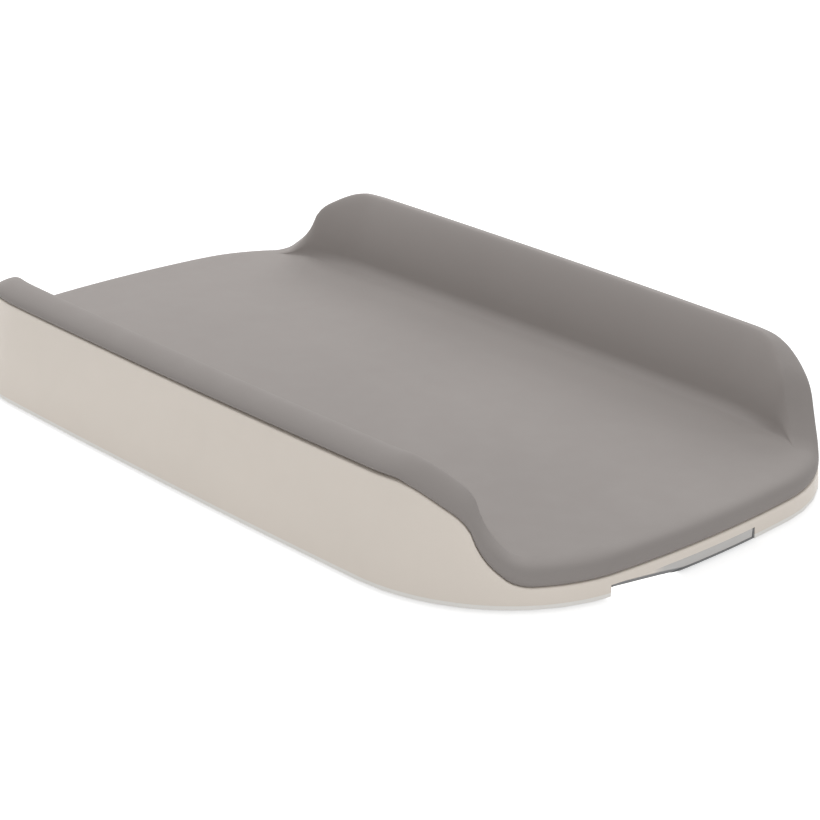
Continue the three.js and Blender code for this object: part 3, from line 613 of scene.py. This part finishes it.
def soft_rubber(name, base):
    """Matt non-slip rubber."""
    finish = Finish(name, base, 0.85)
    finish.tint(finish.noise(120.0), spread=0.12).polish(finish.noise(200.0), spread=0.06)
    finish.relief((finish.noise(1200.0), 0.4, 0.0001))
    return finish.material


def display_face(name, roughness, colours, **sockets):
    """Polished strip: a dark line sweeps along it, with a painted white highlight that glows under the
    line's raised left part.
    """
    finish = Finish(name, colours.lens, roughness, **sockets)
    tree = finish.tree
    place = tree.nodes.new("ShaderNodeSeparateXYZ")
    tree.links.new(finish.place, place.inputs["Vector"])
    across, height = place.outputs["X"], place.outputs["Z"]
    sweep = tree.nodes.new("ShaderNodeValToRGB")
    left, right = LINE_SWEEP[0][0], LINE_SWEEP[-1][0]
    while len(sweep.color_ramp.elements) < len(LINE_SWEEP):
        sweep.color_ramp.elements.new(0.5)
    for element, (x, z) in zip(sweep.color_ramp.elements, LINE_SWEEP):
        level = z / LINE_SCALE
        element.position = (x - left) / (right - left)
        element.color = (level, level, level, 1.0)
    tree.links.new(finish.span(across, left, right, 0.0, 1.0), sweep.inputs["Fac"])
    line = finish.reckon("MULTIPLY", sweep.outputs["Color"], LINE_SCALE)
    above = finish.reckon("SUBTRACT", height, line)
    # Mask of the painted white highlight below the line.
    field = finish.span(above, *PAINTED_HIGHLIGHT_EDGE, 1.0, 0.0)
    bar = finish.span(finish.reckon("ABSOLUTE", above), *LINE_EDGE, 1.0, 0.0)
    dark = finish.reckon("MAXIMUM", bar, finish.span(across, *LINE_END, 0.0, 1.0))
    lip = finish.span(across, *LIP_FADE, 1.0, 0.0)
    layers = ((lip, colours.base), (dark, colours.dark_line), (field, colours.field))
    finish.tint(finish.noise(25.0), spread=0.03).overlay(*layers)
    finish.polish(finish.noise(80.0), spread=0.03)
    finish.relief((finish.noise(30.0), 0.05, 0.0002))
    # The painted highlight glows, though no lamp is behind it.
    finish.shader.inputs["Emission Color"].default_value = (*colours.field, 1.0)
    tree.links.new(field, finish.shader.inputs["Emission Strength"])
    return finish.material


# Names of the materials that have been made, by slot.
MATERIAL_NAMES = {}


def station_materials(scene):
    """One material for each slot of the record, made once."""
    known = {slot: bpy.data.materials.get(name) for slot, name in MATERIAL_NAMES.items()}
    if known and all(known.values()):
        return known
    colours = scene.station_finish
    made = {
        "pad_skin": pad_skin(colours.pad),
        "base_plastic": moulded("satin base plastic", colours.base, 0.42),
        "cover_plastic": moulded("satin cover plastic", colours.cover, 0.46),
        "foot_rubber": soft_rubber("foot rubber", (0.05, 0.05, 0.05)),
        "cell_steel": rolled_metal("load cell steel", (0.46, 0.47, 0.48), 0.32),
        "inner_plastic": moulded("inner plastic", (0.08, 0.08, 0.09), 0.5),
        "lens": display_face("polished display strip", 0.14, colours, Coat_Weight=0.4, Coat_Roughness=0.05),
        "bezel_plastic": display_face("display surround", 0.36, colours),
        "board": moulded("coated board", (0.03, 0.15, 0.06), 0.35),
        "can_steel": rolled_metal("tinned can", (0.5, 0.51, 0.53), 0.28),
        "button_plastic": moulded("button plastic", (0.14, 0.15, 0.16), 0.5),
        "ribbon": moulded("flat cable", (0.75, 0.72, 0.64), 0.45),
        "battery_case": moulded("battery sleeve", (0.08, 0.09, 0.1), 0.3),
        "contact_steel": rolled_metal("plated contact", (0.6, 0.6, 0.58), 0.22),
        "wire": moulded("wire insulation", (0.05, 0.05, 0.055), 0.5),
        "screw_steel": rolled_metal("plated screw", (0.32, 0.33, 0.34), 0.35),
    }
    MATERIAL_NAMES.update({slot: material.name for slot, material in made.items()})
    return made


# Solids that get round shading: how their names start, and the width of their softened edges.
SOFT_EDGES = (
    ("bottom_cover", 0.0), ("battery_door", 0.0003), ("battery_", 0.0002), ("foot_", 0.0004),
    ("unit_button", 0.0003), ("cover_screw", 0.0002),
)


class STATION_OT_nodes(bpy.types.Operator):
    """Gives every carried-over solid the finish of its slot"""

    bl_idname = "station.nodes"
    bl_label = "Finish the solids"

    def execute(self, context):
        materials = station_materials(context.scene)
        for entry in frame["record"]["subparts"]:
            piece = frame["nodes"][entry["node"]]
            material = materials[entry["material_slot"]]
            if not piece.material_slots:
                piece.data.materials.append(material)
            for slot in piece.material_slots:
                slot.material = material
        return {"FINISHED"}


class STATION_OT_base(bpy.types.Operator):
    """Models the base's skirt, rim, tray and hollow underside, with the cut for the display"""

    bl_idname = "station.base"
    bl_label = "Base shell"

    def execute(self, context):
        scene = context.scene
        base = scene.station_base
        stations = outline_stations(scene)
        lean = base.skirt_lean
        tray = base.ledge_width + base.tray_lean
        under = base.rim_end - base.shell

        def lean_at(height):
            """Inset of the leaning skirt at this height."""
            return lean * (height - base.floor_gap)

        def skirt(station, part):
            """Inset and height of the skirt, this part of the way up to the rim's rounding."""
            foot = base.skirt_bottom
            height = foot + (station.rim - base.rim_round - foot) * part
            return lean_at(height), height

        rules = [
            lambda station: (base.plateau_inset + base.plateau_slope, base.plateau_top),
            lambda station: (base.plateau_inset, base.rim_end),
            lambda station: (station.lean + tray, base.rim_end),
            lambda station: (station.lean + base.ledge_width, station.rim),
        ]
        for angle in reversed(arc_steps(RIM_STEPS)):
            over = base.rim_round * (1.0 - math.cos(angle))
            down = base.rim_round * (1.0 - math.sin(angle))
            inset = over - lean * base.rim_round
            rules.append(lambda station, inset=inset, down=down: (station.lean + inset, station.rim - down))
        for step in reversed(range(SKIRT_STEPS)):
            rules.append(lambda station, part=step / SKIRT_STEPS: skirt(station, part))
        rules += [
            lambda station: (lean_at(base.skirt_bottom) + base.shell, base.skirt_bottom),
            lambda station: (station.lean + base.shell, station.rim - base.shell),
            lambda station: (station.lean + base.ledge_width - base.shell, station.rim - base.shell),
            lambda station: (station.lean + tray - base.shell, under),
            lambda station: (base.plateau_inset + base.deck_inset, under),
            lambda station: (
                base.plateau_inset + base.plateau_slope + base.deck_inset, base.plateau_top - base.shell
            ),
        ]
        rings = [ring(stations, rule) for rule in rules]
        material = station_materials(scene)["base_plastic"]
        shell = add_object("base_moulding", skin(rings), material)
        subtract(shell, window_cutter(scene, "window_cutter"))
        soften(shell.data, CREASE)
        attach(shell, "base")
        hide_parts("base_shell")
        return {"FINISHED"}


class STATION_OT_details(bpy.types.Operator):
    """Gives the cover, door, feet, button, screws and batteries round shading and softened edges"""

    bl_idname = "station.details"
    bl_label = "Underside details"

    def execute(self, context):
        materials = station_materials(context.scene)
        for entry in frame["record"]["subparts"]:
            name, slot = entry["node"], entry["material_slot"]
            width = next((edge for start, edge in SOFT_EDGES if name.startswith(start)), None)
            if width is None:
                continue
            node = frame["nodes"][name]
            body = bmesh.new()
            body.from_mesh(node.data)
            bmesh.ops.remove_doubles(body, verts=body.verts, dist=WELD)
            if width > 0.0:
                bmesh.ops.dissolve_limit(body, angle_limit=FLAT, verts=body.verts, edges=body.edges)
                crisp = [edge for edge in body.edges if edge.calc_face_angle(0.0) > SHARP]
                bmesh.ops.bevel(
                    body, geom=crisp, offset=width, offset_type="OFFSET", segments=2, profile=0.5,
                    affect="EDGES", clamp_overlap=True, material=-1,
                )
            piece = add_object(name + "_soft", body, materials[slot])
            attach(piece, node["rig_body"])
            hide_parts(name)
        return {"FINISHED"}


class PadSection:
    """The pad's section at each station of the outline, and the rings that its body grows through."""

    def __init__(self, scene):
        outline = scene.station_outline
        self.base = scene.station_base
        self.pad = scene.station_pad
        self.half_width = outline.width / 2
        self.stations = outline_stations(scene)
        self.face_run = self.pad.inner_roll + self.pad.face_lean
        self.slope_run = self.face_run + self.pad.foot_fillet
        self.side_rise = max(self.rise(station) for station in self.stations)
        side = tangent_centre(outline)[2].x + outline.corner_radius
        side_lean = max(station.lean for station in self.stations)
        self.hem = side - side_lean - self.pad.outer_roll - self.slope_run

    def share(self, station):
        """How far the rim has risen from its height at the ends to its height along the sides."""
        return (station.rim - self.base.rim_end) / (self.base.rim_side - self.base.rim_end)

    def settled(self, station):
        """How far the border's and the bed's heights have passed from an end's to a side's."""
        return smooth(self.share(station) / self.pad.bed_blend)

    def edge(self, station):
        """Height of the border over the rim."""
        end = self.pad.front_edge if station.y < 0.0 else self.pad.rear_edge
        return end + (self.pad.edge - end) * self.settled(station)

    def crest(self, station):
        """Height of the border's crest."""
        return station.rim + self.edge(station)

    def bed(self, station):
        """Height of the bed at its edge."""
        level = self.base.rim_end + self.edge(station)
        return level + (self.pad.bed_height - level) * self.settled(station)

    def rise(self, station):
        """Height of the inner face."""
        return max(self.crest(station) - self.bed(station), 0.0)

    def fillet(self, station):
        """Height of the rounding at the inner face's foot."""
        return min(self.pad.foot_fillet, FILLET_MOST * self.rise(station))

    def roll(self, station):
        """Width of the border's outer rounding."""
        swing = smooth((abs(station.x) / self.half_width - SWING_FROM) / SWING_RUN)
        wider = self.pad.corner_roll * hump(self.share(station))
        return self.pad.end_roll + (self.pad.outer_roll - self.pad.end_roll) * swing + wider

    def crest_inset(self, station):
        """Inset of the border's crest."""
        return station.lean + self.roll(station)

    def slope(self, station):
        """Share of the inner slope's width: its foot runs straight along a side and ends in a point."""
        reach = (abs(station.x) - self.hem) / max(abs(station.out_x), LEAST_TURN)
        straight = min((reach - self.crest_inset(station)) / self.slope_run, 1.0)
        straight = soft_max(straight, self.pad.least_slope, SLOPE_BLEND)
        tapered = math.sqrt(self.rise(station) / self.side_rise)
        return max(soft_min(straight, tapered, POINT_BLEND), POINT_WIDTH)

    def foot_inset(self, station):
        """Inset of the inner slope's foot."""
        return self.crest_inset(station) + self.slope_run * self.slope(station)

    def slot(self, station):
        """Height of the gap under the border."""
        along = clamp((self.pad.slot_from - station.y) / self.pad.slot_run)
        opened = clamp((self.share(station) - SLOT_RIM) / (1.0 - SLOT_RIM))
        return self.pad.slot_height * along * opened

    def border(self, station):
        """The outer rounding in unit sizes, rounder along the sides and squarer at the ends."""
        rounder = smooth(self.share(station) / self.pad.round_share)
        full = self.pad.end_fullness + (self.pad.edge_fullness - self.pad.end_fullness) * rounder
        return bezier((0.0, 0.0), (0.0, full), (1.0 - full, 1.0), (1.0, 1.0), BORDER_STEPS)

    def under_rules(self):
        """Over the raised deck, down to the tray and up to the gap under the border."""
        base, pad, gap = self.base, self.pad, self.pad.gap
        deck_gap = gap * DECK_GAP
        return [
            lambda station: (base.plateau_inset + base.plateau_slope - deck_gap, base.plateau_top + gap),
            lambda station: (base.plateau_inset - deck_gap, base.rim_end + gap),
            lambda station: (station.lean + base.ledge_width + base.tray_lean + gap, base.rim_end + gap),
            lambda station: (station.lean + base.ledge_width + gap, station.rim + gap),
            lambda station: (station.lean + pad.edge_tuck + pad.slot_depth, station.rim + gap),
        ]

    def border_rules(self):
        """Round the border's tucked-in foot and over its outer rounding to the crest."""
        pad = self.pad

        def foot(station, angle):
            low = pad.gap + self.slot(station)
            up = low + (pad.edge_foot - low) * (1.0 - math.cos(angle))
            return station.lean + pad.edge_tuck * (1.0 - math.sin(angle)), station.rim + up

        def rounding(station, step):
            across, up = self.border(station)[step]
            height = station.rim + pad.edge_foot + up * (self.edge(station) - pad.edge_foot)
            return station.lean + across * self.roll(station), height

        rules = [lambda station, angle=angle: foot(station, angle) for angle in arc_steps(FOOT_STEPS)]
        return rules + [lambda station, step=step: rounding(station, step) for step in range(BORDER_STEPS)]

    def face_rules(self):
        """Down the inner face and round its foot to the bed."""
        pad = self.pad

        def face(station, across, down):
            inset = self.crest_inset(station) + across * self.face_run * self.slope(station)
            return inset, self.crest(station) - down * (self.rise(station) - self.fillet(station))

        def foot(station, angle):
            across = self.face_run + pad.foot_fillet * (1.0 - math.cos(angle))
            up = self.fillet(station) * (1.0 - math.sin(angle))
            inset = self.crest_inset(station) + across * self.slope(station)
            return inset, self.crest(station) - self.rise(station) + up

        curve = bezier((0.0, 0.0), (FACE_CREST, 0.0), (1.0, FACE_FOOT), (1.0, 1.0), FACE_STEPS)
        rules = [lambda station, spot=spot: face(station, *spot) for spot in curve]
        turns = arc_steps(FILLET_STEPS)[1:]
        return rules + [lambda station, angle=angle: foot(station, angle) for angle in turns]

    def bed_rules(self):
        """From the foot of the face to where the bed has settled."""
        pad = self.pad

        def bed(station, part):
            start, level = self.foot_inset(station), self.bed(station)
            inset = start + (pad.bed_reach - start) * part
            height = level + (pad.bed_height - level) * smooth(part)
            return inset, height - pad.bed_dish * DISH_EDGE * part

        parts = [step / BED_STEPS for step in range(1, BED_STEPS + 1)]
        return [lambda station, part=part: bed(station, part) for part in parts]

    def rings(self):
        """All rings from the middle of the underside to the dished middle of the bed."""
        rules = self.under_rules() + self.border_rules() + self.face_rules() + self.bed_rules()
        rings = [ring(self.stations, rule) for rule in rules]
        settled = rings[-1]
        for scale in BED_SCALES:
            depth = self.pad.bed_dish * (1.0 - (1.0 - DISH_EDGE) * scale * scale)
            height = self.pad.bed_height - depth
            rings.append([Vector((point.x * scale, point.y * scale, height)) for point in settled])
        return rings


class STATION_OT_pad(bpy.types.Operator):
    """Models the foam pad with its rolled border, turned-up sides and dished bed"""

    bl_idname = "station.pad"
    bl_label = "Foam pad"

    def execute(self, context):
        scene = context.scene
        material = station_materials(scene)["pad_skin"]
        foam = add_object("foam_pad", skin(PadSection(scene).rings()), material, PAD_CREASE)
        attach(foam, "pad")
        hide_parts("changing_pad")
        return {"FINISHED"}


def seen_level(tree, ray, unseen, seen):
    """One strength for what the camera and this kind of ray see, another for light on the object."""
    path = tree.nodes.new("ShaderNodeLightPath")
    either = tree.nodes.new("ShaderNodeMath")
    either.operation = "MAXIMUM"
    tree.links.new(path.outputs["Is Camera Ray"], either.inputs[0])
    tree.links.new(path.outputs[ray], either.inputs[1])
    level = tree.nodes.new("ShaderNodeMapRange")
    level.inputs["To Min"].default_value = unseen
    level.inputs["To Max"].default_value = seen
    tree.links.new(either.outputs[0], level.inputs["Value"])
    return level.outputs["Result"]


class STATION_OT_stage(bpy.types.Operator):
    """Sets the floor, the soft light and the camera at the picture's angle"""

    bl_idname = "station.stage"
    bl_label = "Stage"

    def execute(self, context):
        scene = context.scene
        stage = scene.station_stage
        self.add_floor(stage)
        self.add_world(scene, stage)
        for name, setting, place, size in LAMPS:
            self.add_lamp(scene, name, place, getattr(stage, setting), size)
        self.add_camera(scene, stage)
        scene.view_settings.view_transform = "Standard"
        return {"FINISHED"}

    def add_floor(self, stage):
        """A wide pale floor that is clear from below, so that the underside can be seen."""
        body = bmesh.new()
        bmesh.ops.create_circle(body, cap_ends=True, segments=3, radius=FLOOR_RADIUS)
        material = bpy.data.materials.new("pale floor")
        material.use_nodes = True
        tree = material.node_tree
        tree.nodes.remove(tree.nodes["Principled BSDF"])
        matt = tree.nodes.new("ShaderNodeBsdfDiffuse")
        matt.inputs["Color"].default_value = (*stage.floor, 1.0)
        glow = tree.nodes.new("ShaderNodeEmission")
        glow.inputs["Color"].default_value = WHITE
        level = seen_level(tree, "Is Glossy Ray", stage.floor_glow, stage.floor_seen)
        tree.links.new(level, glow.inputs["Strength"])
        both = tree.nodes.new("ShaderNodeAddShader")
        tree.links.new(matt.outputs[0], both.inputs[0])
        tree.links.new(glow.outputs[0], both.inputs[1])
        side = tree.nodes.new("ShaderNodeNewGeometry")
        clear = tree.nodes.new("ShaderNodeBsdfTransparent")
        from_below = tree.nodes.new("ShaderNodeMixShader")
        tree.links.new(side.outputs["Backfacing"], from_below.inputs["Fac"])
        tree.links.new(both.outputs[0], from_below.inputs[1])
        tree.links.new(clear.outputs[0], from_below.inputs[2])
        tree.links.new(from_below.outputs[0], tree.nodes["Material Output"].inputs["Surface"])
        add_object("floor", body, material)

    def add_world(self, scene, stage):
        """Even light from all round, seen as plain white."""
        world = bpy.data.worlds.new("even light")
        world.use_nodes = True
        tree = world.node_tree
        sky = tree.nodes["Background"]
        sky.inputs["Color"].default_value = WHITE
        level = seen_level(tree, "Is Transmission Ray", stage.ambient, 1.0)
        tree.links.new(level, sky.inputs["Strength"])
        scene.world = world

    def add_lamp(self, scene, name, place, power, size):
        """A round soft lamp that faces the object."""
        lamp = bpy.data.lights.new(name, "AREA")
        lamp.energy = power
        lamp.shape = "DISK"
        lamp.size = size
        holder = bpy.data.objects.new(name, lamp)
        holder.location = place
        holder.rotation_euler = (-Vector(place)).to_track_quat("-Z", "Y").to_euler()
        scene.collection.objects.link(holder)

    def add_camera(self, scene, stage):
        """The camera, turned about the object and shifted to the picture's framing."""
        turn, rise, roll = (math.radians(v) for v in (stage.azimuth, stage.elevation, stage.roll))
        back = Vector((math.sin(turn) * math.cos(rise), -math.cos(turn) * math.cos(rise), math.sin(rise)))
        right = Vector((0.0, 0.0, 1.0)).cross(back).normalized()
        up = back.cross(right)
        tilted = right * math.cos(roll) + up * math.sin(roll)
        upright = up * math.cos(roll) - right * math.sin(roll)
        lens = bpy.data.cameras.new("picture_camera")
        lens.sensor_width = SENSOR_WIDTH
        lens.lens = stage.focal / stage.picture * SENSOR_WIDTH
        lens.shift_x = -stage.shift_x / stage.picture
        lens.shift_y = stage.shift_y / stage.picture
        lens.clip_end = CAMERA_REACH
        holder = bpy.data.objects.new("picture_camera", lens)
        place = back * stage.distance + Vector((0.0, 0.0, scene.station_base.floor_gap))
        facing = Matrix((tilted, upright, back)).transposed().to_4x4()
        holder.matrix_world = Matrix.Translation(place) @ facing
        scene.collection.objects.link(holder)
        scene.camera = holder


class STATION_PT_panel(bpy.types.Panel):
    """Lists the station's steps in the sidebar"""

    bl_idname = "STATION_PT_panel"
    bl_label = "Changing station"
    bl_space_type = "VIEW_3D"
    bl_region_type = "UI"
    bl_category = "Changing station"

    def draw(self, context):
        for operator in OPERATORS:
            self.layout.operator(operator.bl_idname)
        for name in SETTINGS:
            settings = getattr(context.scene, name)
            for item in settings.bl_rna.properties:
                if item.identifier not in {"rna_type", "name"}:
                    self.layout.prop(settings, item.identifier)


OPERATORS = (STATION_OT_nodes, STATION_OT_base, STATION_OT_details, STATION_OT_pad, STATION_OT_stage)
CLASSES = (*SETTINGS.values(), *OPERATORS, STATION_PT_panel)


def register():
    for item in CLASSES:
        bpy.utils.register_class(item)
    for name, kind in SETTINGS.items():
        setattr(bpy.types.Scene, name, PointerProperty(type=kind))


def unregister():
    for name in SETTINGS:
        delattr(bpy.types.Scene, name)
    for item in reversed(CLASSES):
        bpy.utils.unregister_class(item)


def main():
    """Builds the stage and the station."""
    register()
    bpy.ops.station.stage()
    bpy.ops.station.nodes()
    bpy.ops.station.base()
    bpy.ops.station.details()
    bpy.ops.station.pad()


if __name__ == "__main__":
    main()
